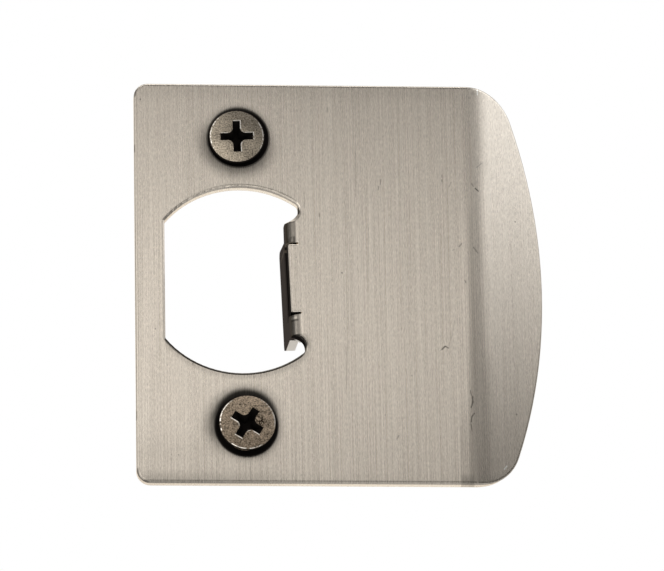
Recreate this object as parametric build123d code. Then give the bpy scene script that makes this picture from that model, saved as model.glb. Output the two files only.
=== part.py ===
from build123d import *
import math
import os

# Door strike plate with a curved lip, an adjustable tab and two countersunk wood screws.
# Sizes are in millimetres. The plate stands as it is mounted on a door jamb: X is along the
# width with the lip at +X, Y points into the jamb, Z is up. The back of the plate lies on
# y = 0 and its visible front on y = -plate_thickness. The origin is midway between the screws.

# plate
plate_thickness = 1.4
plate_height = 57.15
plate_left_x = -14.35
left_corner_radius = 1.9
front_edge_radius = 0.35

# lip, bent back from the plate and cut to a long curve with rounded corners
lip_bend_start_x = 30.23
lip_bend_front_radius = 10.0
lip_angle = 22.0
lip_reach = 7.91
lip_curve_radius = 71.0
lip_corner_radius = 6.7

# latch hole, a round hole cut off straight on the left
hole_centre_z = 0.3
hole_radius = 13.3
hole_left_x = -10.33

# Adjustable tab, bent back from the right side of the latch hole on two legs. It is a little out
# of true, so the tab, its reliefs and its slot are laid out about the middle of the hole and then
# turned together, their upper end to the left.
tab_tilt = 2.0
tab_bend_x = 7.95
tab_front_radius = 1.65
tab_angle = 91.5
tab_depth = 9.7
tab_corner_radius = 0.9

# outline of the tab behind its legs, as depths behind the plate's front and heights
upper_shoulder_depth = 2.45
upper_neck_depth = 3.1
upper_neck_height = 6.1
upper_far_height = 7.0
lower_shoulder_depth = 1.7
lower_neck_depth = 2.2
lower_neck_height = 7.8
lower_far_height = 7.3

# round reliefs that free the tab from the plate above and below it
relief_x = 6.55
relief_radius = 1.65
relief_offset_z = 9.85
relief_corner_radius = 0.8

# slot between the legs, with a flat tongue of plate on its right
tongue_edge_x = 6.45
tongue_half_height = 4.95
lance_gap = 0.15
slot_half_height = 5.6
slot_depth = 3.7
slot_width = 1.8
slot_corner_radius = 0.8

# screw holes, both punched a little off the middle line
screw_edge_distance = 7.9375
upper_hole_x = -0.17
lower_hole_x = 0.43
countersink_diameter = 8.25
countersink_angle = 82.0

# screws, whose thread is a plain cylinder of the thread's outside radius
head_diameter = 7.65
head_rim = 0.25
screw_length = 15.875
neck_radius = 1.9
thread_radius = 2.08
thread_start = 5.3
tip_length = 3.2
tip_radius = 0.25
upper_screw_stand = 0.8
lower_screw_stand = 1.75
upper_screw_shift_x = -0.24
lower_screw_shift_x = 0.03

# cross recess
recess_span = 4.5
recess_arm = 1.02
recess_floor_span = 2.2
recess_floor_arm = 0.7
recess_depth = 2.1
recess_centre_radius = 1.15
upper_recess_turn = -1.8
lower_recess_turn = 32.0

front_y = -plate_thickness
half_height = plate_height / 2
screw_offset_z = half_height - screw_edge_distance
bend_angle = math.radians(lip_angle)

# lengths that only have to run past the part they cut
run_past = plate_height

# how near two lengths, or a direction's cosine, have to be to count as the same
same_length = 0.01
same_direction = 0.999


def lip_direction():
    return Vector(math.cos(bend_angle), math.sin(bend_angle), 0)


def lip_normal():
    return Vector(math.sin(bend_angle), -math.cos(bend_angle), 0)


def lip_bend_centre():
    return Vector(lip_bend_start_x, front_y + lip_bend_front_radius, 0)


def lip_front_start():
    return lip_bend_centre() + lip_normal() * lip_bend_front_radius


def bent_sheet():
    """Sheet with the lip bent back, as a side profile swept over the plate's height."""
    back_radius = lip_bend_front_radius - plate_thickness
    centre = lip_bend_centre()
    mid_normal = Vector(math.sin(bend_angle / 2), -math.cos(bend_angle / 2), 0)
    front_end = lip_front_start()
    back_end = centre + lip_normal() * back_radius
    reach = lip_direction() * (lip_reach + plate_thickness)
    front_flat = Line((plate_left_x, front_y), (lip_bend_start_x, front_y))
    front_bend = ThreePointArc(
        front_flat @ 1, centre + mid_normal * lip_bend_front_radius, front_end
    )
    front_lip = Line(front_end, front_end + reach)
    tip = Line(front_lip @ 1, back_end + reach)
    back_lip = Line(tip @ 1, back_end)
    back_bend = ThreePointArc(
        back_end, centre + mid_normal * back_radius, (lip_bend_start_x, 0)
    )
    back_flat = Line(back_bend @ 1, (plate_left_x, 0))
    left = Line(back_flat @ 1, front_flat @ 0)
    outline = Wire([front_flat, front_bend, front_lip, tip, back_lip, back_bend, back_flat, left])
    return extrude(make_face(outline), half_height, both=True)


def lip_outline():
    """Outer curve of the lip, cut square to the lip's own face."""
    start = lip_front_start()
    plane = Plane(origin=start, x_dir=lip_direction(), z_dir=lip_normal())
    curve_x = lip_reach - lip_curve_radius
    corner_z = half_height - lip_corner_radius
    between = lip_curve_radius - lip_corner_radius
    corner_x = curve_x + math.sqrt(between**2 - corner_z**2)
    toward = Vector(corner_x - curve_x, corner_z, 0).normalized()
    touch = Vector(curve_x, 0, 0) + toward * lip_curve_radius
    corner = Vector(corner_x, corner_z, 0)
    corner_mid = corner + (toward + Vector(0, 1, 0)).normalized() * lip_corner_radius
    far_left = -2 * run_past
    top = Line((far_left, half_height), (corner_x, half_height))
    upper = ThreePointArc(top @ 1, corner_mid, touch)
    outer = ThreePointArc(touch, (lip_reach, 0), (touch.X, -touch.Y))
    lower = ThreePointArc(outer @ 1, (corner_mid.X, -corner_mid.Y), (corner_x, -half_height))
    bottom = Line(lower @ 1, (far_left, -half_height))
    left = Line(bottom @ 1, top @ 0)
    outline = Wire([top, upper, outer, lower, bottom, left])
    return extrude(plane * make_face(outline), run_past, both=True)


def left_outline():
    """Straight edges of the plate, with both left corners rounded."""
    width = 2 * run_past
    centre_x = plate_left_x + width / 2
    blank = Plane.XZ * Pos(centre_x, 0) * Rectangle(width, plate_height)
    solid = extrude(blank, run_past, both=True)
    corners = solid.edges().filter_by(Axis.Y).sort_by(Axis.X)[:2]
    return fillet(corners, left_corner_radius)


def latch_opening():
    """Latch hole with its reliefs, leaving the flat tongue beside the slot."""
    relief_wall_x = relief_x + relief_radius
    span = 2 * run_past
    window = Pos(tab_bend_x - span / 2, 0) * Rectangle(span, span)
    relief_height = hole_radius
    for side in (1, -1):
        relief_z = side * relief_offset_z
        beside = Pos(relief_wall_x / 2, relief_z + side * relief_height / 2)
        window = window + beside * Rectangle(relief_wall_x, relief_height)
        window = window + Pos(relief_x, relief_z) * Circle(relief_radius)
    tongue_width = 2 * (tab_bend_x - tongue_edge_x)
    tongue = Pos(tab_bend_x, 0) * Rectangle(tongue_width, 2 * tongue_half_height)
    opening = (Circle(hole_radius) & window) - tongue
    corners = []
    for vertex in opening.vertices():
        on_wall = vertex.X > relief_wall_x - same_length
        if on_wall and abs(vertex.Y) > relief_offset_z + same_length:
            corners.append(vertex)
    opening = fillet(corners, relief_corner_radius)
    opening = Pos(0, hole_centre_z) * Rot(0, 0, tab_tilt) * opening
    opening = opening & (Pos(hole_left_x + span / 2, 0) * Rectangle(span, span))
    return extrude(Plane.XZ * opening, run_past, both=True)


def countersink(x, side):
    """Cone for one screw head, widest at the front face."""
    slope = math.tan(math.radians(countersink_angle / 2))
    past = plate_thickness
    front_radius = countersink_diameter / 2 + past * slope
    depth = plate_thickness + 2 * past
    back_radius = front_radius - depth * slope
    cone = Cone(front_radius, back_radius, depth, align=(Align.CENTER, Align.CENTER, Align.MIN))
    place = Location((x, front_y - past, side * screw_offset_z), (-90, 0, 0))
    return place * cone


def tab_profile():
    """Side profile of the tab: the bend and the straight part behind it."""
    angle = math.radians(tab_angle)
    back_radius = tab_front_radius - plate_thickness
    centre = Vector(tab_bend_x, front_y + tab_front_radius, 0)

    def outward(turn):
        return Vector(-math.sin(turn), -math.cos(turn), 0)

    down = Vector(math.cos(angle), math.sin(angle), 0)
    bend_end = centre + outward(angle) * tab_front_radius
    straight = (front_y + tab_depth - bend_end.Y) / down.Y
    root = Line((tab_bend_x, 0), (tab_bend_x, front_y))
    front_bend = ThreePointArc(root @ 1, centre + outward(angle / 2) * tab_front_radius, bend_end)
    front = Line(bend_end, bend_end + down * straight)
    back_end = centre + outward(angle) * back_radius
    end = Line(front @ 1, back_end + down * straight)
    back = Line(end @ 1, back_end)
    back_bend = ThreePointArc(back_end, centre + outward(angle / 2) * back_radius, root @ 0)
    return make_face(Wire([root, front_bend, front, end, back, back_bend]))


def tab_outline():
    """Side outline of the tab, wide at its legs, with rounded far corners."""
    before = -run_past
    points = [
        (before, relief_offset_z),
        (front_y + upper_shoulder_depth, relief_offset_z),
        (front_y + upper_neck_depth, upper_neck_height),
        (front_y + tab_depth, upper_far_height),
        (front_y + tab_depth, -lower_far_height),
        (front_y + lower_neck_depth, -lower_neck_height),
        (front_y + lower_shoulder_depth, -relief_offset_z),
        (before, -relief_offset_z),
    ]
    side = Plane.YZ * make_face(Polyline(*points, close=True))
    outline = extrude(side, run_past, both=True)
    far_edges = outline.edges().filter_by(Axis.X).sort_by(Axis.Y)[-2:]
    return fillet(far_edges, tab_corner_radius)


def tab():
    """Adjustable tab with a slot between its two legs, which the round reliefs cut short."""
    sheet = extrude(tab_profile(), relief_offset_z, both=True) & tab_outline()
    for side in (1, -1):
        relief = Rot(90, 0, 0) * Cylinder(relief_radius, 2 * run_past)
        sheet = sheet - Pos(relief_x, 0, side * relief_offset_z) * relief
    slot_y = front_y + slot_depth - slot_width / 2
    root_slot_height = 2 * (tongue_half_height + lance_gap)
    root_slot = Pos(0, slot_y - run_past, 0) * Box(2 * run_past, 2 * run_past, root_slot_height)
    slot = Pos(0, slot_y, 0) * Box(2 * run_past, slot_width, 2 * slot_half_height)
    slot = fillet(slot.edges().filter_by(Axis.X), slot_corner_radius)
    place = Pos(0, 0, hole_centre_z) * Rot(0, -tab_tilt, 0)
    return place * (sheet - root_slot - slot)


def across_tab(point):
    """Distance of a point from the middle of the hole, square to the tab's bend line."""
    tilt = math.radians(tab_tilt)
    return point.X * math.cos(tilt) + (point.Z - hole_centre_z) * math.sin(tilt)


def front_surface_y(x):
    """Height of the front surface of the bent sheet over the point x."""
    if x <= lip_bend_start_x:
        return front_y
    start = lip_front_start()
    if x >= start.X:
        return start.Y + (x - start.X) * math.tan(bend_angle)
    run = x - lip_bend_start_x
    return lip_bend_centre().Y - math.sqrt(lip_bend_front_radius**2 - run**2)


def front_edges(solid):
    """Edges on the front surface, without the bend lines and the tab's root."""
    chosen = []
    for edge in solid.edges():
        middle = edge @ 0.5
        on_front = abs(middle.Y - front_surface_y(middle.X)) < same_length
        upright = abs((edge % 0.5).Z) > same_direction and edge.geom_type == GeomType.LINE
        bend_line = upright and middle.X > lip_bend_start_x - same_length
        root_line = upright and abs(across_tab(middle) - tab_bend_x) < same_length
        if on_front and not bend_line and not root_line:
            chosen.append(edge)
    return chosen


def strike_plate():
    plate = bent_sheet() & lip_outline() & left_outline()
    plate = plate - latch_opening()
    plate = fillet(front_edges(plate), front_edge_radius)
    plate = plate - countersink(upper_hole_x, 1) - countersink(lower_hole_x, -1)
    return plate + tab()


def cross_recess(turn):
    """Tapered cross with a round centre, opening at the head's face on y = 0."""
    centre = Cone(
        recess_centre_radius,
        recess_centre_radius / 2,
        recess_depth,
        align=(Align.CENTER, Align.CENTER, Align.MIN),
    )
    recess = Rot(-90, 0, 0) * centre
    for arm in (0, 90):
        face = Plane.XZ * Rot(0, 0, arm) * Rectangle(recess_span, recess_arm)
        floor = Plane.XZ * Rot(0, 0, arm) * Rectangle(recess_floor_span, recess_floor_arm)
        recess = recess + loft([face, Pos(0, recess_depth, 0) * floor])
    return Rot(0, turn, 0) * recess


def screw(stand, x, side, turn):
    """Countersunk wood screw whose head stands the given height off the plate."""
    slope = math.tan(math.radians(countersink_angle / 2))
    head_radius = head_diameter / 2
    cone_length = (head_radius - neck_radius) / slope
    run_out = thread_radius - neck_radius
    points = [
        (0, 0),
        (head_radius, 0),
        (head_radius, head_rim),
        (neck_radius, head_rim + cone_length),
        (neck_radius, thread_start - run_out),
        (thread_radius, thread_start),
        (thread_radius, screw_length - tip_length),
        (tip_radius, screw_length),
        (0, screw_length),
    ]
    half = make_face(Polyline(*points, close=True))
    body = revolve(half, Axis.Y, 360)
    body = body - cross_recess(turn)
    return Pos(x, front_y - stand, side * screw_offset_z) * body


def main():
    os.makedirs("parts", exist_ok=True)
    export_step(strike_plate(), "parts/strike_plate.step")
    upper_x = upper_hole_x + upper_screw_shift_x
    upper = screw(upper_screw_stand, upper_x, 1, upper_recess_turn)
    export_step(upper, "parts/upper_screw.step")
    lower_x = lower_hole_x + lower_screw_shift_x
    lower = screw(lower_screw_stand, lower_x, -1, lower_recess_turn)
    export_step(lower, "parts/lower_screw.step")


main()
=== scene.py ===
import math

import bmesh
import bpy
from mathutils import Matrix, Vector


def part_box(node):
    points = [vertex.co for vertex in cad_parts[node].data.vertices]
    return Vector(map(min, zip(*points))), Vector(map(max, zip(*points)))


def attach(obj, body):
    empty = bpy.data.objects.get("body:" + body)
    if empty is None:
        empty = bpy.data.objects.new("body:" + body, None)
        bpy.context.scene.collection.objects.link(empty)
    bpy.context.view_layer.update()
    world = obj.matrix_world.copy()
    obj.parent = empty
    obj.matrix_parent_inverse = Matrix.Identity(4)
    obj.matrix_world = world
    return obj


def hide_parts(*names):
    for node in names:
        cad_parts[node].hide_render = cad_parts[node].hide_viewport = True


# Door strike plate in satin nickel with two dull wood screws, seen from a little below and from
# the left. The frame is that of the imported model, in metres: X along the width with the lip at
# +X, Y into the door jamb, Z up. The plate's front lies on y = front_y.

mm = 0.001
mm_per_metre = 1000

# plate features that the finish follows, in millimetres
plate_thickness = 1.4
top_z = 28.575
left_x = -14.35
bend_start_x = 30.23
bend_radius = 10.0
bend_angle = math.radians(22)
bend_end_x = bend_start_x + bend_radius * math.sin(bend_angle)
hole_centre_z = 0.3
hole_radius = 13.3
hole_left_x = -10.33
tab_tilt = math.radians(2)
tab_lean = math.radians(1.5)
tab_bend_y = 1.65
tab_front_x = 6.3
tab_root_x = 7.95
tongue_half_height = 4.95
relief_x = 6.55
relief_left_x = 5.0
relief_radius = 1.65
relief_offset = 9.85
relief_wall_x = relief_x + relief_radius
relief_corner = 0.8
countersink_radius = 4.125
screw_hole_x = {"upper_screw": -0.17, "lower_screw": 0.43}
screw_hole_z = {"upper_screw": 20.6375, "lower_screw": -20.6375}
front_y = -plate_thickness * mm

# camera, as fitted to the plate's edges and its round hole, with its turns in degrees
camera_yaw = 4.48
camera_pitch = -19.41
camera_roll = -1.05
camera_distance = 0.900
camera_aim = (-12.25 * mm, 0.85 * mm)
focal_pixels = 6660.0
picture_width = 664
sensor_width = 36.0

# floor and plain light
floor_radius = 4.0
floor_z = -0.45
floor_fade = (1.2, 3.8)
floor_colour = (0.86, 0.86, 0.86, 1.0)
plain_white = (1.0, 1.0, 1.0, 1.0)
room_level = 0.7
lamp_place = (-0.1, -0.1, 0.9)
lamp_width = 0.6
lamp_power = 5.0

# screws
upper_recess_turn = -1.8
lower_recess_turn = 32.0
head_radius = 3.825 * mm
head_rim = 0.25 * mm
face_roll = 0.10 * mm
head_angle = 82.0
neck_radius = 1.9 * mm
neck_taper = 0.8 * mm
recess_reach = 2.25
recess_corner = 0.72 * mm
recess_depth = 2.1 * mm
recess_taper = 0.5
recess_lift = 0.4 * mm
thread_radius = 2.08 * mm
thread_root_radius = 1.5 * mm
thread_start = 5.3 * mm
thread_pitch = 1.69 * mm
thread_sink = 0.12 * mm
thread_half_foot = 0.45 * mm
thread_half_crest = 0.04 * mm
thread_turn_steps = 36
thread_run_out = 0.5 * mm
thread_lead_turns = 0.6
tip_length = 3.2 * mm
tip_radius = 0.25 * mm
tip_share = 0.12
turned_sides = 72
crease_angle = math.radians(35)


class Number:
    """One number of a node tree. Sums and products of it add Math nodes."""

    def __init__(self, shader, socket):
        self.shader = shader
        self.socket = socket

    def math(self, operation, *values, clamp=False):
        settings = {"operation": operation, "use_clamp": clamp}
        inputs = dict(enumerate(values))
        return self.shader.number("ShaderNodeMath", settings, inputs)

    def __add__(self, other):
        return self.math("ADD", self, other)

    def __radd__(self, other):
        return self.math("ADD", other, self)

    def __sub__(self, other):
        return self.math("SUBTRACT", self, other)

    def __rsub__(self, other):
        return self.math("SUBTRACT", other, self)

    def __mul__(self, other):
        return self.math("MULTIPLY", self, other)

    def __rmul__(self, other):
        return self.math("MULTIPLY", other, self)

    def __truediv__(self, other):
        return self.math("DIVIDE", self, other)

    def root(self):
        return self.math("SQRT", self)

    def size(self):
        return self.math("ABSOLUTE", self)

    def least(self, other):
        return self.math("MINIMUM", self, other)

    def most(self, other):
        return self.math("MAXIMUM", self, other)

    def held(self):
        """The same number, kept between 0 and 1."""
        return self.math("ADD", self, 0.0, clamp=True)

    def ease(self, start, end):
        """0 up to start and 1 from end on, with a smooth rise between them. The end may be the
        lower one. The node's own clamp is off, as the rise stays between 0 and 1 without it."""
        settings = {"interpolation_type": "SMOOTHSTEP", "clamp": False}
        inputs = {"Value": self, "From Min": start, "From Max": end}
        return self.shader.number("ShaderNodeMapRange", settings, inputs)


class Shader:
    """Node tree of one material or of the world."""

    def __init__(self, owner):
        owner.use_nodes = True
        self.tree = owner.node_tree
        self.tree.nodes.clear()

    def node(self, kind, settings=None, inputs=None):
        made = self.tree.nodes.new(kind)
        for name, value in (settings or {}).items():
            if name == "stops":
                self.set_stops(made.color_ramp, value)
            else:
                setattr(made, name, value)
        for key, value in (inputs or {}).items():
            self.feed(made.inputs[key], value)
        return made

    def set_stops(self, ramp, stops):
        ramp.interpolation = "EASE"
        while len(ramp.elements) < len(stops):
            ramp.elements.new(1.0)
        for element, (place, level) in zip(ramp.elements, stops):
            element.position = place
            element.color = (level, level, level, 1.0)

    def feed(self, socket, value):
        if isinstance(value, Number):
            value = value.socket
        if isinstance(value, bpy.types.NodeSocket):
            self.tree.links.new(value, socket)
        else:
            socket.default_value = value

    def number(self, kind, settings=None, inputs=None, output=0):
        return Number(self, self.node(kind, settings, inputs).outputs[output])

    def place(self):
        """The object's own coordinates, as one vector."""
        return self.node("ShaderNodeTexCoord").outputs["Object"]

    def parts(self, vector):
        split = self.node("ShaderNodeSeparateXYZ", None, {0: vector})
        return [Number(self, split.outputs[i]) for i in range(3)]

    def stretched(self, vector, scale):
        made = self.node(
            "ShaderNodeVectorMath", {"operation": "MULTIPLY"}, {0: vector, 1: scale}
        )
        return made.outputs[0]

    def noise(self, vector, scale, detail=2.0, roughness=0.5):
        """Noise between 0 and 1 whose grain has the given number of cells per metre on each axis."""
        inputs = {
            "Vector": self.stretched(vector, scale),
            "Scale": 1.0,
            "Detail": detail,
            "Roughness": roughness,
        }
        return self.number("ShaderNodeTexNoise", None, inputs)

    def mixed(self, factor, first, second):
        made = self.node(
            "ShaderNodeMix", {"data_type": "RGBA"}, {0: factor, 6: first, 7: second}
        )
        return made.outputs[2]

    def toned(self, colour, tone):
        """The colour, made lighter or darker by a number."""
        made = self.node(
            "ShaderNodeVectorMath", {"operation": "SCALE"}, {0: colour, "Scale": tone}
        )
        return made.outputs[0]

    def ramp(self, value, stops):
        """The level that the stops give at a value, smooth from stop to stop."""
        return self.number("ShaderNodeValToRGB", {"stops": stops}, {0: value})

    def finish(self, surface, kind="ShaderNodeOutputMaterial"):
        self.node(kind, None, {"Surface": surface})


def new_material(name):
    material = bpy.data.materials.new(name)
    return material, Shader(material)


def new_object(name, mesh):
    made = bpy.data.objects.new(name, mesh)
    bpy.context.scene.collection.objects.link(made)
    return made


def finished_mesh(made, name):
    """Turns a bmesh into a mesh with outward faces and sharp creases kept."""
    bmesh.ops.remove_doubles(made, verts=made.verts, dist=0.0001 * mm)
    bmesh.ops.recalc_face_normals(made, faces=made.faces)
    mesh = bpy.data.meshes.new(name)
    made.to_mesh(mesh)
    made.free()
    mesh.shade_smooth()
    mesh.set_sharp_from_angle(angle=crease_angle)
    return mesh


# camera, surroundings and light


def make_camera():
    yaw, pitch, roll = (math.radians(a) for a in (camera_yaw, camera_pitch, camera_roll))
    turn_z = Matrix.Rotation(yaw, 3, "Z")
    turn_x = Matrix.Rotation(pitch, 3, "X")
    turn_y = Matrix.Rotation(roll, 3, "Y")
    turn = turn_y @ turn_x @ turn_z
    aim = Vector((camera_aim[0], camera_distance, camera_aim[1]))
    spot = -(turn.transposed() @ aim) + Vector((0, front_y, hole_centre_z * mm))
    right, forward, up = turn[0], turn[1], turn[2]
    camera = bpy.data.cameras.new("camera")
    camera.sensor_width = sensor_width
    camera.lens = focal_pixels / picture_width * sensor_width
    camera.clip_start = 0.01
    camera.clip_end = 20.0
    made = new_object("camera", camera)
    columns = Matrix((right, up, -forward)).transposed()
    made.matrix_world = Matrix.Translation(spot) @ columns.to_4x4()
    bpy.context.scene.camera = made


def make_world():
    """White for the eye, for mirrors and through glass, and a plain soft level for the rest."""
    world = bpy.data.worlds.new("studio")
    bpy.context.scene.world = world
    shader = Shader(world)
    rays = shader.node("ShaderNodeLightPath")
    seen = Number(shader, rays.outputs["Is Camera Ray"])
    seen = seen + Number(shader, rays.outputs["Is Glossy Ray"])
    seen = (seen + Number(shader, rays.outputs["Is Transmission Ray"])).held()
    level = room_level + (1 - room_level) * seen
    light = shader.node(
        "ShaderNodeBackground", None, {"Color": plain_white, "Strength": level}
    )
    shader.finish(light.outputs[0], "ShaderNodeOutputWorld")


def make_floor():
    """Wide pale disc that fades out at its rim and is plain white in the metal."""
    made = bmesh.new()
    bmesh.ops.create_circle(made, cap_ends=True, segments=96, radius=floor_radius)
    bmesh.ops.translate(made, verts=made.verts, vec=(0, 0, floor_z))
    mesh = bpy.data.meshes.new("floor")
    made.to_mesh(mesh)
    made.free()
    floor = new_object("floor", mesh)
    material, shader = new_material("pale floor")
    x, y, _ = shader.parts(shader.place())
    away = (x * x + y * y).root()
    matt = shader.node("ShaderNodeBsdfDiffuse", None, {"Color": floor_colour})
    clear = shader.node("ShaderNodeBsdfTransparent")
    white = shader.node("ShaderNodeEmission", None, {"Color": plain_white})
    mirrored = shader.node("ShaderNodeLightPath").outputs["Is Glossy Ray"]
    pale = shader.node(
        "ShaderNodeMixShader", None, {0: mirrored, 1: matt.outputs[0], 2: white.outputs[0]}
    )
    faded = shader.node(
        "ShaderNodeMixShader",
        None,
        {0: away.ease(*floor_fade), 1: pale.outputs[0], 2: clear.outputs[0]},
    )
    shader.finish(faded.outputs[0])
    mesh.materials.append(material)


def make_lamp():
    light = bpy.data.lights.new("overhead", "AREA")
    light.shape = "SQUARE"
    light.size = lamp_width
    light.energy = lamp_power
    made = new_object("overhead", light)
    turn = (-Vector(lamp_place)).to_track_quat("-Z", "Y").to_matrix().to_4x4()
    made.matrix_world = Matrix.Translation(Vector(lamp_place)) @ turn


# The graduated screen of the light tent, seen only in the metal. Each part of it takes over from
# the one before between two azimuths in degrees. Its brightness goes from low to high in steps
# of height, which are shares of the screen's own height.
screen_radius = 0.30
screen_low = -0.30
screen_high = 0.55
screen_first_azimuth = -75
screen_sweep = 175
screen_steps = 70
screen_brightness = 2.5
screen_heights = (0.0, 0.30, 0.38, 0.42, 0.46, 0.50, 0.54, 0.60, 0.75, 1.0)
screen_parts = {
    "left": (None, (2.17, 2.18, 2.20, 2.18, 2.08, 1.72, 1.15, 0.78, 0.50, 0.30)),
    "front": ((-30.0, 10.0), (1.00, 0.45, 0.22, 0.28, 0.88, 0.62, 0.08, 0.06, 0.30, 0.48)),
    "bend": ((16.0, 26.0), (0.30, 0.15, 0.02, 0.02, 0.27, 0.33, 0.17, 0.10, 0.10, 0.10)),
    "lip": ((38.0, 50.0), (0.30, 0.20, 0.10, 0.19, 0.78, 1.57, 1.89, 2.05, 2.15, 2.25)),
}
warm_white = (1.0, 0.985, 0.96, 1.0)
cool_white = (0.97, 1.0, 1.03, 1.0)
cool_heights = (0.42, 0.54)


def make_screen():
    """Bright curved screen round the front, darker where the plate mirrors a darker room."""
    made = bmesh.new()
    low = made.verts.new((0, -screen_radius, screen_low))
    high = made.verts.new((0, -screen_radius, screen_high))
    edge = made.edges.new((low, high))
    turn = Matrix.Rotation(math.radians(screen_first_azimuth), 3, "Z")
    bmesh.ops.rotate(made, verts=made.verts, cent=(0, 0, 0), matrix=turn)
    bmesh.ops.spin(
        made,
        geom=[low, high, edge],
        cent=(0, 0, 0),
        axis=(0, 0, 1),
        angle=math.radians(screen_sweep),
        steps=screen_steps,
    )
    mesh = bpy.data.meshes.new("light screen")
    made.to_mesh(mesh)
    made.free()
    screen = new_object("light_screen", mesh)
    screen.visible_camera = False
    screen.visible_shadow = False
    screen.visible_diffuse = False
    material, shader = new_material("graduated light screen")
    x, y, z = shader.parts(shader.place())
    azimuth = x.math("ARCTAN2", x, 0 - y) * (180 / math.pi)
    height = (z - screen_low) / (screen_high - screen_low)
    for border, levels in screen_parts.values():
        shares = [bright / screen_brightness for bright in levels]
        stops = list(zip(screen_heights, shares))
        part = shader.ramp(height, stops) * screen_brightness
        if border is None:
            level = part
        else:
            past = azimuth.ease(*border)
            level = level + (part - level) * past
    white = shader.mixed(past * height.ease(*cool_heights), warm_white, cool_white)
    glow = shader.node("ShaderNodeEmission", None, {"Color": white, "Strength": level})
    shader.finish(glow.outputs[0])
    material.cycles.emission_sampling = "NONE"
    mesh.materials.append(material)


# finishes, and the colours of painted shade and painted light

nickel_colour = (0.668, 0.606, 0.528)
grazing_tint = (0.80, 0.72, 0.62, 1.0)
tab_side_shade_colour = (0.062, 0.052, 0.046, 1.0)
tongue_end_shade_colour = (0.12, 0.10, 0.08, 1.0)
lit_tab_end_colour = (0.88, 0.84, 0.78, 1.0)
shadow_black = (0.012, 0.010, 0.009, 1.0)
rim_and_lip_highlight_colour = (0.93, 0.88, 0.80, 1.0)

# grain of the finishes: how many cells of noise there are per metre along X, Y and Z
long_line_cells = (11000, 2500, 45)
broad_line_cells = (3200, 1200, 24)
brush_grain_cells = (11000, 3000, 2200)
leg_foot_streak_cells = (2600, 500, 700)
screw_shadow_cells = (700, 700, 500)
steel_grain_cells = (5000, 5000, 5000)
steel_cloud_cells = (600, 600, 600)
patchy_edge_cells = (2600, 2600, 2600)

# scratches on the plate's front: both ends, width in millimetres, and how light each one is; those
# at 1.9 and 2.0 are painted glints on nicks
scratches = [
    (27.56, 15.61, 27.56, 15.25, 0.10, 0.48),
    (27.54, 14.90, 27.54, 14.66, 0.11, 0.42),
    (28.52, 13.92, 28.78, 14.55, 0.08, 0.66),
    (19.21, 14.85, 19.10, 14.12, 0.10, 0.50),
    (18.90, 13.86, 18.78, 13.29, 0.10, 0.55),
    (32.10, 13.75, 32.52, 13.38, 0.11, 0.12),
    (31.60, 14.41, 31.84, 14.02, 0.09, 0.50),
    (32.34, 16.79, 33.08, 17.48, 0.09, 0.60),
    (29.64, 5.21, 30.04, 5.67, 0.10, 0.42),
    (28.77, 4.71, 29.01, 4.80, 0.10, 0.60),
    (31.64, 5.18, 32.21, 4.42, 0.12, 0.48),
    (10.72, 9.86, 10.71, 9.40, 0.09, 0.45),
    (12.06, 25.19, 12.16, 24.73, 0.12, 0.70),
    (30.30, 0.41, 30.46, 0.09, 0.10, 0.40),
    (27.01, -9.51, 27.44, -9.07, 0.12, 0.25),
    (27.44, -9.07, 27.88, -9.33, 0.12, 0.30),
    (27.95, -8.96, 28.43, -7.46, 0.06, 0.70),
    (28.43, -7.46, 28.85, -5.31, 0.06, 0.75),
    (26.67, -9.76, 27.01, -9.51, 0.07, 0.75),
    (30.68, -15.35, 30.85, -16.05, 0.10, 0.50),
    (30.99, -16.19, 31.01, -16.97, 0.13, 0.30),
    (31.01, -16.97, 30.76, -17.76, 0.12, 0.35),
    (31.20, -18.55, 30.83, -19.02, 0.10, 0.35),
    (30.83, -19.02, 30.71, -19.78, 0.12, 0.35),
    (30.67, -20.10, 30.81, -21.15, 0.10, 0.50),
    (29.31, -20.53, 29.18, -28.15, 0.08, 0.80),
    (15.83, 18.81, 15.68, 12.28, 0.07, 0.72),
    (17.36, 7.96, 17.14, -1.39, 0.06, 0.76),
    (14.12, -9.28, 13.99, -15.11, 0.07, 0.72),
    (8.72, 12.94, 8.69, 10.63, 0.08, 0.75),
    (16.50, -8.26, 16.44, -10.69, 0.06, 0.80),
    (13.41, 7.20, 13.28, 2.88, 0.05, 0.80),
    (21.84, 2.95, 21.64, -6.80, 0.05, 0.82),
    (12.00, 15.29, 11.95, 10.08, 0.08, 1.14),
    (21.40, 14.51, 21.36, 11.03, 0.07, 1.12),
    (20.30, -16.06, 20.24, -20.31, 0.08, 1.12),
    (32.73, 28.40, 32.71, 27.43, 0.09, 1.90),
    (35.14, -26.08, 35.51, -25.57, 0.12, 2.00),
    (20.64, -22.28, 20.87, -21.83, 0.14, 0.60),
    (-14.30, 19.60, -14.30, 18.60, 0.10, 0.30),
    (-14.30, -18.60, -14.30, -19.80, 0.10, 0.35),
    (0.92, -25.50, 0.90, -28.30, 0.06, 0.70),
    (-2.30, -26.60, -2.30, -28.20, 0.05, 0.80),
    (-5.72, 26.90, -5.75, 20.20, 0.05, 0.80),
    (-11.06, 27.20, -11.10, 19.60, 0.05, 0.85),
    (-6.85, 18.80, -6.87, 16.90, 0.05, 0.75),
]
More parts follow.
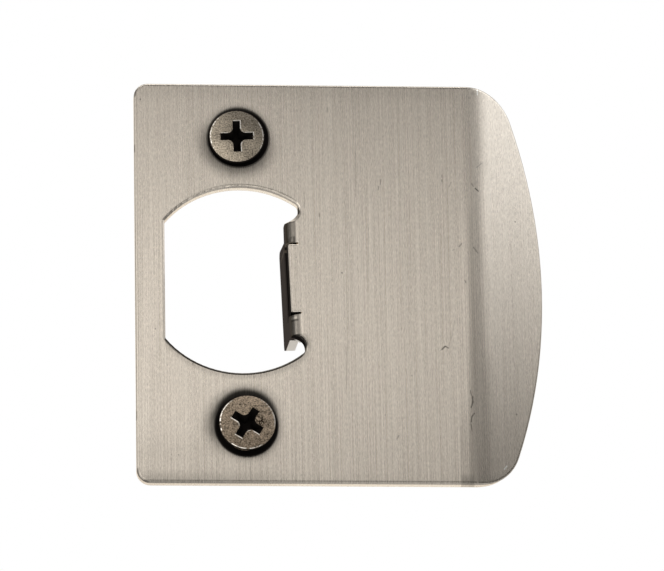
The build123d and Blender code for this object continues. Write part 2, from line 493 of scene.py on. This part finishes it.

# small pits, most of them dark: place, width in millimetres, and how light each one is; the one at
# 2.2 is a painted glint on a nick
pits = [
    (13.65, 1.33, 0.14, 0.20),
    (19.12, -18.90, 0.12, 0.40),
    (22.81, -13.31, 0.14, 0.60),
    (37.65, 9.70, 0.15, 0.30),
    (37.08, -18.05, 0.18, 0.35),
    (-13.46, 26.20, 0.16, 0.35),
    (7.49, 3.51, 0.12, 0.40),
    (-11.70, -6.88, 0.12, 0.40),
    (-6.69, -11.82, 0.12, 0.40),
    (-9.71, -24.70, 0.12, 0.45),
    (-8.72, -24.69, 0.12, 0.45),
    (7.75, -27.43, 0.12, 0.60),
    (31.42, -28.30, 0.16, 2.20),
    (32.10, 27.60, 0.40, 0.80),
    (31.60, 26.90, 0.25, 0.85),
    (36.82, 6.28, 0.10, 0.60),
]


class PlatePlace:
    """Where a point of the plate lies, in millimetres, as numbers of a node tree."""

    def __init__(self, shader):
        self.place = shader.place()
        x, y, z = shader.parts(self.place)
        self.x = x * mm_per_metre
        self.z = z * mm_per_metre
        self.depth = y * mm_per_metre + plate_thickness
        self.above = self.z - hole_centre_z
        self.from_hole = (self.x * self.x + self.above * self.above).root()
        self.tab_x = self.x * math.cos(tab_tilt) + self.above * math.sin(tab_tilt)
        self.tab_z = self.above * math.cos(tab_tilt) - self.x * math.sin(tab_tilt)
        self.from_tab_middle = self.tab_z.size()
        in_bend = (self.x - bend_start_x).most(0.0).least(bend_end_x - bend_start_x)
        sag = bend_radius - (bend_radius**2 - in_bend * in_bend).root()
        slope = (self.x - bend_end_x).most(0.0) * math.tan(bend_angle)
        self.under = self.depth - sag - slope
        self.on_face = self.under.ease(0.4, 0.2)
        self.near_face = self.under.ease(0.5, 0.36)
        self.rolled = self.under.ease(0.002, 0.03)

    def distance(self, x, z):
        across = self.x - x
        along = self.z - z
        return (across * across + along * along).root()

    def along_line(self, x0, z0, x1, z1):
        """Distance from the straight piece between two points. Its share of the way is held by
        most and least, because a clamped Math node here keeps too many numbers waiting."""
        run_x = x1 - x0
        run_z = z1 - z0
        length = run_x * run_x + run_z * run_z
        share = (self.x - x0) * (run_x / length) + (self.z - z0) * (run_z / length)
        share = share.most(0.0).least(1.0)
        across = self.x - x0 - share * run_x
        along = self.z - z0 - share * run_z
        return (across * across + along * along).root()

    def from_opening(self):
        """Distance outward from the outline of the latch hole with its two reliefs."""
        arc = (self.from_hole - hole_radius + relief_corner).most(0.0)
        wall = (self.tab_x - relief_wall_x + relief_corner).most(0.0)
        rounded = (arc * arc + wall * wall).root() - relief_corner
        across = (self.tab_x - relief_x).most(0.0)
        along = (self.from_tab_middle - relief_offset).least(0.0)
        relief = (across * across + along * along).root() - relief_radius
        relief = relief.least(self.tab_x - relief_left_x)
        return rounded.most(relief).most(hole_left_x - self.x)

    def tab_skin(self):
        """Depth of a point of the bent tab in from its left side."""
        return self.tab_x - tab_front_x + (self.depth - tab_bend_y) * math.tan(tab_lean)


def within(value, low, high, soft):
    """1 between low and high, falling to 0 over the soft length outside them."""
    return value.ease(low - soft, low) * value.ease(high + soft, high)


def shaded(tone, mask, factor):
    """The tone, multiplied by the factor where the mask is 1."""
    return tone * (1 - mask * (1 - factor))


# The tones below give how light the nickel is at each place, as masks in millimetres and the
# share of light that stays there. Besides scratches and pits, most of them are painted shade and
# painted light. Those that need noise or a ramp are multiplied in last, so that no long row of
# masks has to wait for them in the renderer's small memory.


def marked(tone, spot):
    """The tone with the scratches and pits of the plate's front."""
    for x0, z0, x1, z1, width, factor in scratches:
        line = spot.along_line(x0, z0, x1, z1).ease(width, width * 0.35)
        tone = shaded(tone, line * spot.on_face, factor)
    for x, z, width, factor in pits:
        pit = spot.distance(x, z).ease(width, width * 0.4)
        tone = shaded(tone, pit * spot.on_face, factor)
    return tone


def bend_tones(tone, spot):
    """Painted shade along a crease of the lip's bend, painted light where the bend starts and ends,
    and a darker ledge beside its lower end.
    """
    # painted shade in the crease, then painted light at both ends of the bend
    crease = (spot.x - 0.02 * (spot.z + 5)).ease(30.68, 30.80)
    crease = crease * spot.x.ease(32.1, 31.2) * spot.z.ease(13.0, 8.0)
    tone = shaded(tone, crease, 0.86)
    lit_end = within(spot.x, 32.7, 33.8, 0.35) * within(spot.z, -8.0, 13.0, 5.0)
    tone = shaded(tone, lit_end, 1.10)
    lit_start = within(spot.x, 29.9, 30.95, 0.35) * within(spot.z, -4.0, 8.0, 5.0)
    tone = shaded(tone, lit_start, 1.05)
    ledge = spot.x.ease(29.15, 29.25) * spot.x.ease(31.2, 30.7)
    tone = shaded(tone, ledge * spot.z.ease(-15.0, -22.0), 0.86)
    return shaded(tone, ledge * spot.z.ease(-26.8, -28.0), 0.75)


def outline_tones(tone, spot):
    """Painted shade on the rolled edges round the plate, in bands beside them and over the lower
    left, and painted light on the sheared walls.
    """
    from_top = top_z - spot.z
    from_bottom = spot.z + top_z
    from_left = spot.x - left_x
    # painted light: the sheared walls are made lighter than the plate
    wall = within(spot.under, 0.42, 1.30, 0.08)
    tone = shaded(tone, wall, 1.42)
    # painted shade: darker over the lower left, toward the bottom and top edges, and on the rolled
    # edges
    lower_left_shade = spot.z.ease(-20.0, -25.0) * spot.x.ease(9.0, 1.0)
    tone = shaded(tone, lower_left_shade, 0.91)
    bottom_shade = from_bottom.ease(2.1, 0.5) * (0.05 + 0.20 * spot.x.ease(14.0, -12.0))
    tone = tone * (1 - bottom_shade * spot.near_face)
    top_shade = from_top.ease(3.0, 1.0) * spot.x.ease(31.0, 29.0)
    tone = shaded(tone, top_shade, 0.93)
    tone = shaded(tone, from_top.ease(0.55, 0.35) * spot.near_face, 0.84)
    tone = shaded(tone, from_top.ease(0.36, 0.25) * spot.near_face, 0.50)
    bottom_line = from_bottom.ease(0.50, 0.30) * spot.under.ease(0.40, 0.26)
    tone = shaded(tone, bottom_line, 0.56)
    tone = shaded(tone, from_left.ease(0.50, 0.25) * spot.near_face, 0.56)
    lip_line = spot.rolled * spot.near_face * spot.x.ease(32.5, 33.5)
    tone = shaded(tone, lip_line, 0.62)
    left_corners = spot.x.ease(-12.6, -13.0) * spot.z.size().ease(26.4, 26.8)
    return shaded(tone, spot.rolled * spot.near_face * left_corners, 0.50)


def opening_tones(tone, spot):
    """Painted shade along the edge of the latch hole and of its two reliefs, and in a soft band
    below the hole.
    """
    edge = spot.from_opening()
    tall = spot.from_tab_middle
    off_tab = tall.ease(7.9, 8.05)
    on_hole = tall.ease(10.9, 10.3)
    past_left = spot.x.ease(hole_left_x - 0.2, hole_left_x)
    lower = spot.above.ease(-3.5, -6.0) * past_left
    upper = spot.above.ease(3.5, 6.0) * past_left
    # painted shade along the edges of the hole and reliefs
    line = within(edge + 0.08 * on_hole, -0.2, 0.34, 0.06) * off_tab
    tone = shaded(tone, line * lower, 0.08)
    halo = within(edge, -0.2, 0.60, 0.6) * off_tab
    tone = shaded(tone, halo * lower, 0.80)
    sliver = within(edge, -0.1, 0.22, 0.06) * within(tall, 9.3, 10.1, 0.3)
    tone = shaded(tone, sliver * upper * spot.tab_x.ease(5.0, 5.6), 0.05)
    rim = within(edge, -0.1, 0.42, 0.08) * off_tab * spot.near_face
    tone = shaded(tone, rim * upper * spot.x.ease(-8.0, 0.0), 0.55)
    return shaded(tone, rim * lower * edge.ease(0.05, 0.15) * on_hole, 0.50)


def tongue_tones(tone, spot):
    """Painted shade on the left edge and upper end of the tongue over the slot, and in the gap below
    it.
    """
    high = tongue_half_height
    # painted shade on the tongue's edges and in the gap below it
    left_edge = spot.from_tab_middle.ease(high + 0.02, high - 0.02)
    left_edge = left_edge * within(spot.tab_x, 6.3, 6.72, 0.08) * spot.near_face
    tone = shaded(tone, left_edge, 0.42)
    upper_end = within(spot.tab_z, high - 0.30, high, 0.05)
    upper_end = upper_end * within(spot.tab_x, 6.6, 7.7, 0.1) * spot.rolled
    tone = shaded(tone, upper_end, 0.55)
    gap = within(spot.from_tab_middle, high - 0.10, high + 0.22, 0.04)
    gap = gap * within(spot.tab_x, 6.2, 7.75, 0.15) * spot.tab_z.ease(1.0, 0.0)
    return shaded(tone, gap, 0.03)


def leg_lines(tone, spot):
    """Painted glint and a dark line across the lower leg."""
    lower = spot.tab_z.ease(1.0, 0.0)
    glint = within(spot.from_tab_middle, 5.48, 5.72, 0.08) * within(spot.tab_x, 6.6, 7.2, 0.12)
    # painted glint
    tone = shaded(tone, glint * lower, 1.8)
    line = within(spot.from_tab_middle, 5.86, 6.05, 0.08) * within(spot.tab_x, 6.6, 7.4, 0.12)
    return shaded(tone, line * lower, 0.45)


# Painted reflection: a dark mirror image of each standing screw head in the plate above it: how
# far up it lies, its soft edge, and the share of light that stays.
mirrored_heads = {"upper_screw": (0.50, 0.50, 0.18), "lower_screw": (1.05, 0.90, 0.10)}
mirrored_head_radius = 3.80


def head_tones(tone, spot):
    """Painted shadow in dark rings round the two screws, and painted reflections of their heads."""
    for screw, (lift, soft, factor) in mirrored_heads.items():
        away = spot.distance(screw_hole_x[screw], screw_hole_z[screw]) - countersink_radius
        # painted shadow round the head, then its painted reflection
        tone = shaded(tone, away.ease(1.3, 0.1), 0.72)
        tone = shaded(tone, away.ease(0.35, 0.1), 0.30)
        image = spot.distance(screw_hole_x[screw], screw_hole_z[screw] + lift)
        image = image.ease(mirrored_head_radius + soft, mirrored_head_radius)
        tone = shaded(tone, image, factor)
    return tone


# painted shade across each bent leg as it turns away, from its left edge to where it joins the plate
upper_leg_shade = [
    (0.0, 0.01), (0.14, 0.02), (0.26, 0.07), (0.42, 0.11), (0.56, 0.21), (0.73, 0.23),
    (0.82, 0.34), (0.93, 0.9), (1.0, 1.0),
]
lower_leg_shade = [
    (0.0, 0.02), (0.20, 0.05), (0.36, 0.09), (0.43, 0.30), (0.50, 0.26), (0.60, 0.21),
    (0.75, 0.25), (0.84, 0.50), (0.95, 1.0),
]


def leg_tones(shader, tone, spot):
    """Painted shade round the bend of both legs, and darker streaks at the upper one's foot."""
    leg = within(spot.from_tab_middle, tongue_half_height + 0.05, 8.15, 0.03)
    leg = leg * spot.tab_x.ease(5.0, 5.6)
    round_bend = (spot.tab_x - tab_front_x) * (1 / (tab_root_x - tab_front_x))
    for side, stops in ((1, upper_leg_shade), (-1, lower_leg_shade)):
        # painted shade: the ramp darkens each leg toward its left edge
        on = leg * (spot.tab_z * side).ease(0.0, 1.0)
        tone = tone * (1 - on * (1 - shader.ramp(round_bend, stops)))
    foot = within(spot.from_tab_middle, tongue_half_height + 0.05, 5.9, 0.2)
    foot = foot * within(spot.tab_x, 6.6, 7.5, 0.12) * spot.tab_z.ease(0.0, 1.0)
    streak = shader.noise(spot.place, leg_foot_streak_cells, 1.0).ease(0.36, 0.56)
    return shaded(tone, foot * streak, 0.42)


# painted shadow beside each screw: the direction in which it lies, and the share of light that stays
painted_screw_shadows = {"upper_screw": (-0.30, -0.95, 0.40), "lower_screw": (-0.60, 0.80, 0.28)}
screw_shadow_width = 2.6


def with_painted_screw_shadows(shader, tone, spot):
    """The tone with the cloudy painted shadow beside the screws."""
    for screw, (toward_x, toward_z, factor) in painted_screw_shadows.items():
        x = screw_hole_x[screw]
        z = screw_hole_z[screw]
        away = spot.distance(x, z)
        side = ((spot.x - x) * toward_x + (spot.z - z) * toward_z) / away
        near = away.ease(countersink_radius + screw_shadow_width, countersink_radius)
        cloud = 0.65 + 0.7 * shader.noise(spot.place, screw_shadow_cells, 2.0, 0.6)
        # painted shadow, made cloudy by noise
        mask = (near * cloud * side.ease(-0.5, 0.7)).held()
        tone = shaded(tone, mask * spot.on_face, factor)
    return tone


def nickel_tone(shader, spot, long_lines):
    """Brush lines everywhere, and all the marks, painted shade and painted light but those on the
    back.
    """
    broad = shader.noise(spot.place, broad_line_cells, 1.0) - 0.5
    grain = shader.noise(spot.place, brush_grain_cells, 1.0) - 0.5
    lines = (0.40 * long_lines + 0.08 * broad) * (1 - 0.30 * spot.x.ease(31.0, 34.0))
    brushed = 1 + lines * (1 - 0.40 * spot.z.ease(8.0, 18.0)) + 0.75 * grain
    tone = marked(1.0, spot)
    tone = bend_tones(tone, spot)
    tone = outline_tones(tone, spot)
    tone = opening_tones(tone, spot)
    tone = tongue_tones(tone, spot)
    tone = leg_lines(tone, spot)
    tone = head_tones(tone, spot)
    tone = leg_tones(shader, tone, spot)
    tone = with_painted_screw_shadows(shader, tone, spot)
    at_tab = within(spot.tab_x, 5.6, 7.8, 0.1) * spot.from_tab_middle.ease(9.3, 9.2)
    back = spot.under.ease(1.32, 1.38) * (1 - at_tab)
    return brushed * (tone + (1 - tone) * back)


def painted_shadow_mask(spot):
    """1 where a painted shadow black goes: in the countersinks, where it also stands for dark bare
    metal, the slot, the tongue's left edge and the lower relief's wall.
    """
    upper = spot.distance(screw_hole_x["upper_screw"], screw_hole_z["upper_screw"])
    upper = upper.ease(countersink_radius + 0.06, countersink_radius - 0.02)
    lower = spot.distance(screw_hole_x["lower_screw"], screw_hole_z["lower_screw"])
    lower = lower.ease(countersink_radius + 0.20, countersink_radius + 0.02)
    sinks = upper.most(lower) * spot.depth.ease(1.39, 1.37)
    tall = spot.from_tab_middle
    slot = tall.ease(6.2, 5.7) * within(spot.depth, 1.42, 3.72, 0.1)
    slot = slot * within(spot.tab_x, 5.6, 7.8, 0.1) * spot.tab_skin().ease(0.06, 0.16)
    tongue_edge = tall.ease(tongue_half_height + 0.05, tongue_half_height)
    tongue_edge = tongue_edge * spot.tab_x.ease(6.60, 6.50) * spot.tab_x.ease(5.6, 5.8)
    tongue_edge = tongue_edge * spot.depth.ease(1.5, 1.4)
    relief = within(spot.from_opening(), -0.3, 0.06, 0.04) * within(spot.depth, 0.05, 1.45, 0.05)
    relief = relief * within(tall, 8.0, 9.9, 0.1) * spot.tab_z.ease(0.0, -1.0)
    relief = relief * spot.tab_x.ease(6.3, 6.5)
    return sinks.most(slot).most(tongue_edge).most(relief)


def tab_shade_and_light_masks(spot):
    """Where the tab gets painted shade, on its left side and the tongue's upper end, and
    painted light, on the tab's lower end."""
    tall = spot.from_tab_middle
    lower = spot.tab_z.ease(0.0, -1.0)
    inside = spot.tab_skin() - 0.58 * tall.ease(8.1, 8.3) * lower
    side = inside.ease(0.22, 0.12) * within(spot.tab_z, -8.9, 8.9, 0.1)
    side = side * within(spot.tab_x, 5.5, 7.1, 0.2) * spot.depth.ease(0.9, 1.3)
    tongue_end = within(spot.tab_z, tongue_half_height - 0.04, tongue_half_height + 0.3, 0.02)
    tongue_end = tongue_end * within(spot.tab_x, 6.2, 7.75, 0.1) * spot.depth.ease(0.05, 0.15)
    tab_end = spot.depth.ease(1.45, 1.6) * tall.ease(7.0, 7.2) * lower
    tab_end = tab_end * inside.ease(0.12, 0.22) * within(spot.tab_x, 5.5, 7.75, 0.05)
    return side, tongue_end, tab_end


def satin_nickel():
    material, shader = new_material("satin nickel")
    spot = PlatePlace(shader)
    long_lines = shader.noise(spot.place, long_line_cells, 0.0) - 0.5
    tone = nickel_tone(shader, spot, long_lines)
    nickel = shader.node(
        "ShaderNodeBsdfPrincipled",
        None,
        {
            "Base Color": shader.toned(nickel_colour, tone),
            "Metallic": 1.0,
            "Roughness": (0.28 + 0.06 * long_lines).held(),
            "Anisotropic": 0.7,
            "Specular Tint": grazing_tint,
        },
    )
    # painted shadow: a near-black matt surface where the plate lies in deep shade
    shadow_surface = shader.node("ShaderNodeBsdfDiffuse", None, {"Color": shadow_black})
    shadowed = shader.node(
        "ShaderNodeMixShader", None, {0: painted_shadow_mask(spot), 1: nickel.outputs[0], 2: shadow_surface.outputs[0]}
    )
    side, tongue_end, tab_end = tab_shade_and_light_masks(spot)
    # painted shade on the tab's left side and the tongue's upper end, painted light on the tab's
    # lower end
    colour = shader.mixed(tongue_end, tab_side_shade_colour, tongue_end_shade_colour)
    colour = shader.mixed(tab_end, colour, lit_tab_end_colour)
    dull = shader.node("ShaderNodeBsdfDiffuse", None, {"Color": colour})
    whole = shader.node(
        "ShaderNodeMixShader",
        None,
        {0: side.most(tongue_end).most(tab_end), 1: shadowed.outputs[0], 2: dull.outputs[0]},
    )
    shader.finish(whole.outputs[0])
    return material


# How each screw looks, in millimetres and radians: radius of its bare face, half the width of
# the recess's arms, the side on which the recess's lips get a painted highlight, the angles at
# which its rim gets painted highlights, its colour, how its tone falls off across the face as
# painted shade, and the centre and radius of each curved scar beside the recess. recess_blend
# rounds the recess's inner corners, lip_step is how far off its outline is looked at to tell
# which side a lip faces, and the tone's fall is reached at shade_reach from the middle.
screw_looks = {
    "upper_screw": {
        "face": 3.66,
        "half_arm": 0.51,
        "lip": (0.80, 0.45),
        "rim": (0.1, 3.0),
        "colour": (0.285, 0.246, 0.194),
        "shade": (0.10, 0.26),
        "scars": (),
    },
    "lower_screw": {
        "face": 3.74,
        "half_arm": 0.56,
        "lip": (-0.45, -0.85),
        "rim": (0.45, 2.9, -1.6),
        "colour": (0.250, 0.198, 0.146),
        "shade": (-0.22, -0.14),
        "scars": ((1.55, 0.62, 0.45), (1.35, 0.25, 0.62), (1.9, -0.1, 0.30)),
    },
}
recess_blend = 0.70
lip_step = 0.1
shade_reach = 2.5


def cross_edge(p, q, half_arm):
    """Distance from the outline of the cross recess, below 0 inside it."""
    along = (p.size() - half_arm).most(q.size() - recess_reach)
    across = (q.size() - half_arm).most(p.size() - recess_reach)
    share = (0.5 + (across - along) * (0.5 / recess_blend)).held()
    return across + (along - across) * share - share * (1 - share) * recess_blend


def turned(x, z, angle):
    """A place on the screw's face, along and across the arms of its recess."""
    return x * math.cos(angle) - z * math.sin(angle), x * math.sin(angle) + z * math.cos(angle)


def rim_highlight_mask(across, along, out, look, patchy):
    """1 on the stretches of the rim that get a painted highlight."""
    rubbed = None
    for angle in look["rim"]:
        near = ((across * math.cos(angle) + along * math.sin(angle)) / out).ease(0.68, 0.92)
        rubbed = near if rubbed is None else rubbed.most(near)
    rim = within(out, look["face"] - 0.12, look["face"] - 0.03, 0.04)
    return rim * rubbed * patchy.ease(0.42, 0.56)


def scarred(tone, across, along, edge, look, patchy):
    """The tone with the curved scars beside the recess."""
    for scar_x, scar_z, radius in look["scars"]:
        scar_across = across - scar_x
        scar_along = along - scar_z
        away = (scar_across * scar_across + scar_along * scar_along).root()
        line = within(away, radius - 0.05, radius + 0.05, 0.05) * patchy.ease(0.30, 0.45)
        tone = shaded(tone, line * edge.ease(0.0, 0.05), 0.18)
    return tone


def screw_shadow_mask(depth, out, look):
    """1 where a painted shadow black goes: in the recess, on the head's side and on the bevel round
    the face's edge.
    """
    recess = depth.ease(0.02, 0.12) * out.ease(2.7, 2.6) * depth.ease(2.9, 2.6)
    side = depth.ease(0.12, 0.30) * depth.ease(4.0, 3.0) * out.ease(2.4, 2.8)
    dark_bevel = out.ease(look["face"] - 0.03, look["face"] + 0.05) * depth.ease(4.0, 3.0)
    return recess.most(side).most(dark_bevel)


def screw_finish(name, screw, turn):
    look = screw_looks[screw]
    material, shader = new_material(name)
    low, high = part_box(screw)
    place = shader.place()
    x, y, z = shader.parts(place)
    across = (x - (low.x + high.x) / 2) * mm_per_metre
    along = (z - (low.z + high.z) / 2) * mm_per_metre
    depth = (y - low.y) * mm_per_metre
    out = (across * across + along * along).root()
    angle = math.radians(turn)
    p, q = turned(across, along, angle)
    edge = cross_edge(p, q, look["half_arm"])
    lip_p, lip_q = turned(*look["lip"], angle)
    beside = cross_edge(p - lip_step * lip_p, q - lip_step * lip_q, look["half_arm"])
    rise = (edge - beside) * (1 / lip_step)
    grain = shader.noise(place, steel_grain_cells, 2.0, 0.65)
    cloud = shader.noise(place, steel_cloud_cells, 2.0)
    patchy = shader.noise(place, patchy_edge_cells, 1.0)
    shade_x, shade_z = look["shade"]
    tone = (4.0 * grain + 1.1 * cloud - 1.55).most(0.15)
    # painted shade: the face grows darker toward one side
    tone = tone * (1 - (across * shade_x + along * shade_z) * (1 / shade_reach))
    tone = scarred(tone, across, along, edge, look, patchy)
    # painted highlights on the recess's lips and on stretches of the rim
    lip = within(edge, -0.06, 0.10, 0.05) * rise.ease(0.1, 0.7) * patchy.ease(0.36, 0.48)
    rim = rim_highlight_mask(across, along, out, look, patchy)
    bright = (lip.most(rim) * depth.ease(0.25, 0.12)).held()
    colour = shader.mixed(bright, shader.toned(look["colour"], tone), rim_and_lip_highlight_colour)
    steel = shader.node(
        "ShaderNodeBsdfPrincipled",
        None,
        {
            "Base Color": colour,
            "Metallic": 1.0,
            "Roughness": (0.42 + 0.15 * grain - 0.20 * bright).held(),
        },
    )
    # painted shadow: near-black matt surface in the recess, on the head's side and on its bevel
    shadow_surface = shader.node("ShaderNodeBsdfDiffuse", None, {"Color": shadow_black})
    dark = screw_shadow_mask(depth, out, look)
    both = shader.node(
        "ShaderNodeMixShader", None, {0: dark, 1: steel.outputs[0], 2: shadow_surface.outputs[0]}
    )
    shader.finish(both.outputs[0])
    return material


# screws


def recess_cutter(centre, turn, half_arm):
    """Tapered cross with rounded inner corners, standing a little out of the head's face."""
    made = bmesh.new()
    reach = recess_reach * mm - half_arm
    bmesh.ops.create_grid(made, x_segments=1, y_segments=1, size=half_arm)
    for edge in list(made.edges):
        middle = (edge.verts[0].co + edge.verts[1].co) / 2
        arm = bmesh.ops.extrude_edge_only(made, edges=[edge])["geom"]
        tips = [v for v in arm if isinstance(v, bmesh.types.BMVert)]
        bmesh.ops.translate(made, verts=tips, vec=middle.normalized() * reach)
    bmesh.ops.dissolve_faces(made, faces=made.faces)
    inner = [v for v in made.verts if v.co.length < half_arm * 1.6]
    bmesh.ops.bevel(
        made,
        geom=inner,
        offset=recess_corner,
        offset_type="OFFSET",
        affect="VERTICES",
        segments=6,
        profile=0.5,
        material=-1,
    )
    face = made.faces[:]
    down = bmesh.ops.extrude_face_region(made, geom=face)["geom"]
    floor = [v for v in down if isinstance(v, bmesh.types.BMVert)]
    bmesh.ops.translate(made, verts=floor, vec=(0, 0, -recess_depth))
    bmesh.ops.scale(made, verts=floor, vec=(recess_taper, recess_taper, 1.0))
    top = [v for v in made.verts if v.co.z > -recess_depth / 2]
    flat_top = [f for f in made.faces if all(v in top for v in f.verts)]
    lift = bmesh.ops.extrude_face_region(made, geom=flat_top)["geom"]
    lifted = [v for v in lift if isinstance(v, bmesh.types.BMVert)]
    bmesh.ops.translate(made, verts=lifted, vec=(0, 0, recess_lift))
    bmesh.ops.delete(made, geom=[f for f in flat_top if f.is_valid], context="FACES_ONLY")
    place = Matrix.Translation(centre)
    place = place @ Matrix.Rotation(math.radians(turn), 4, "Y")
    place = place @ Matrix.Rotation(math.radians(90), 4, "X")
    bmesh.ops.transform(made, matrix=place, verts=made.verts)
    return new_object("recess_cutter", finished_mesh(made, "recess cutter"))


def screw_body(centre, length):
    """Head, neck, shank and point as one turned solid about the screw's axis."""
    slope = math.tan(math.radians(head_angle / 2))
    cone = (head_radius - neck_radius) / slope
    points = [
        (0, 0),
        (head_radius - face_roll, 0),
        (head_radius - 0.3 * face_roll, 0.3 * face_roll),
        (head_radius, 0.9 * face_roll),
        (head_radius, head_rim),
        (neck_radius, head_rim + cone),
        (neck_radius, thread_start - neck_taper),
        (thread_root_radius, thread_start),
        (thread_root_radius, length - tip_length),
        (tip_radius, length),
        (0, length),
    ]
    made = bmesh.new()
    rim = [made.verts.new((r, d, 0)) for r, d in points]
    edges = [made.edges.new(pair) for pair in zip(rim, rim[1:])]
    bmesh.ops.spin(
        made,
        geom=rim + edges,
        cent=(0, 0, 0),
        axis=(0, 1, 0),
        angle=math.radians(360),
        steps=turned_sides,
        use_merge=True,
    )
    bmesh.ops.translate(made, verts=made.verts, vec=centre)
    return finished_mesh(made, "screw body")


def thread(centre, length):
    """Screw thread: one ridge wound round the shank, sinking into it at both ends."""
    run = length - thread_start - thread_run_out
    turns = run / thread_pitch
    steps = int(turns * thread_turn_steps)
    foot = thread_root_radius - thread_sink
    profile = [
        (foot, -thread_half_foot),
        (thread_radius, -thread_half_crest),
        (thread_radius, thread_half_crest),
        (foot, thread_half_foot),
    ]
    made = bmesh.new()
    ring = [made.verts.new((r, thread_start + d, 0)) for r, d in profile]
    start = made.faces.new(ring)
    bmesh.ops.spin(
        made,
        geom=[start],
        cent=(0, 0, 0),
        axis=(0, 1, 0),
        dvec=(0, run / steps, 0),
        angle=turns * math.tau,
        steps=steps,
    )
    point_start = length - tip_length
    for vert in made.verts:
        out = math.hypot(vert.co.x, vert.co.z)
        y = vert.co.y
        taper = max(0.0, min(1.0, (length - y) / tip_length))
        room = tip_radius + (thread_radius - tip_radius) * taper
        lead = max(0.0, min(1.0, (y - thread_start) / (thread_lead_turns * thread_pitch)))
        room = min(room, foot + (thread_radius - foot) * lead)
        on_foot = out <= foot + 0.01 * mm
        if y > point_start or not on_foot:
            narrowed = foot * (tip_share + (1 - tip_share) * taper)
            wanted = narrowed if on_foot else min(out, room)
            vert.co.x *= wanted / out
            vert.co.z *= wanted / out
    bmesh.ops.translate(made, verts=made.verts, vec=centre)
    return finished_mesh(made, "thread")


def make_screw(screw, turn, material):
    low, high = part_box(screw)
    centre = Vector(((low.x + high.x) / 2, low.y, (low.z + high.z) / 2))
    length = high.y - low.y
    blank = new_object(screw + "_blank", screw_body(centre, length))
    cutter = recess_cutter(centre, turn, screw_looks[screw]["half_arm"] * mm)
    cut = blank.modifiers.new("recess", "BOOLEAN")
    cut.operation = "DIFFERENCE"
    cut.solver = "EXACT"
    cut.object = cutter
    graph = bpy.context.evaluated_depsgraph_get()
    carved = bpy.data.meshes.new_from_object(blank.evaluated_get(graph))
    made = bmesh.new()
    made.from_mesh(carved)
    made.from_mesh(thread(centre, length))
    mesh = bpy.data.meshes.new(screw + "_detailed")
    made.to_mesh(mesh)
    made.free()
    bpy.data.objects.remove(blank)
    bpy.data.objects.remove(cutter)
    mesh.shade_smooth()
    mesh.set_sharp_from_angle(angle=crease_angle)
    mesh.materials.clear()
    mesh.materials.append(material)
    piece = new_object(screw + "_detailed", mesh)
    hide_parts(screw)
    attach(piece, "root")


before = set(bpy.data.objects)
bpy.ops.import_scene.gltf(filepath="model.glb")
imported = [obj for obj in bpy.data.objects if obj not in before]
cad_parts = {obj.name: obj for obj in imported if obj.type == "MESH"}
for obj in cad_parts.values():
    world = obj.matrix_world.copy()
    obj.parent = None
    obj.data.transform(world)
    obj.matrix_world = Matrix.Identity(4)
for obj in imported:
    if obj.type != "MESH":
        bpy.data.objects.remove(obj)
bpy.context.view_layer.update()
scene = bpy.context.scene
scene.view_settings.view_transform = "Standard"

make_camera()
make_world()
make_floor()
make_lamp()
make_screen()

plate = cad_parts["strike_plate"]
plate.material_slots[0].material = satin_nickel()

make_screw(
    "upper_screw",
    upper_recess_turn,
    screw_finish("upper screw steel", "upper_screw", upper_recess_turn),
)
make_screw(
    "lower_screw",
    lower_recess_turn,
    screw_finish("lower screw steel", "lower_screw", lower_recess_turn),
)
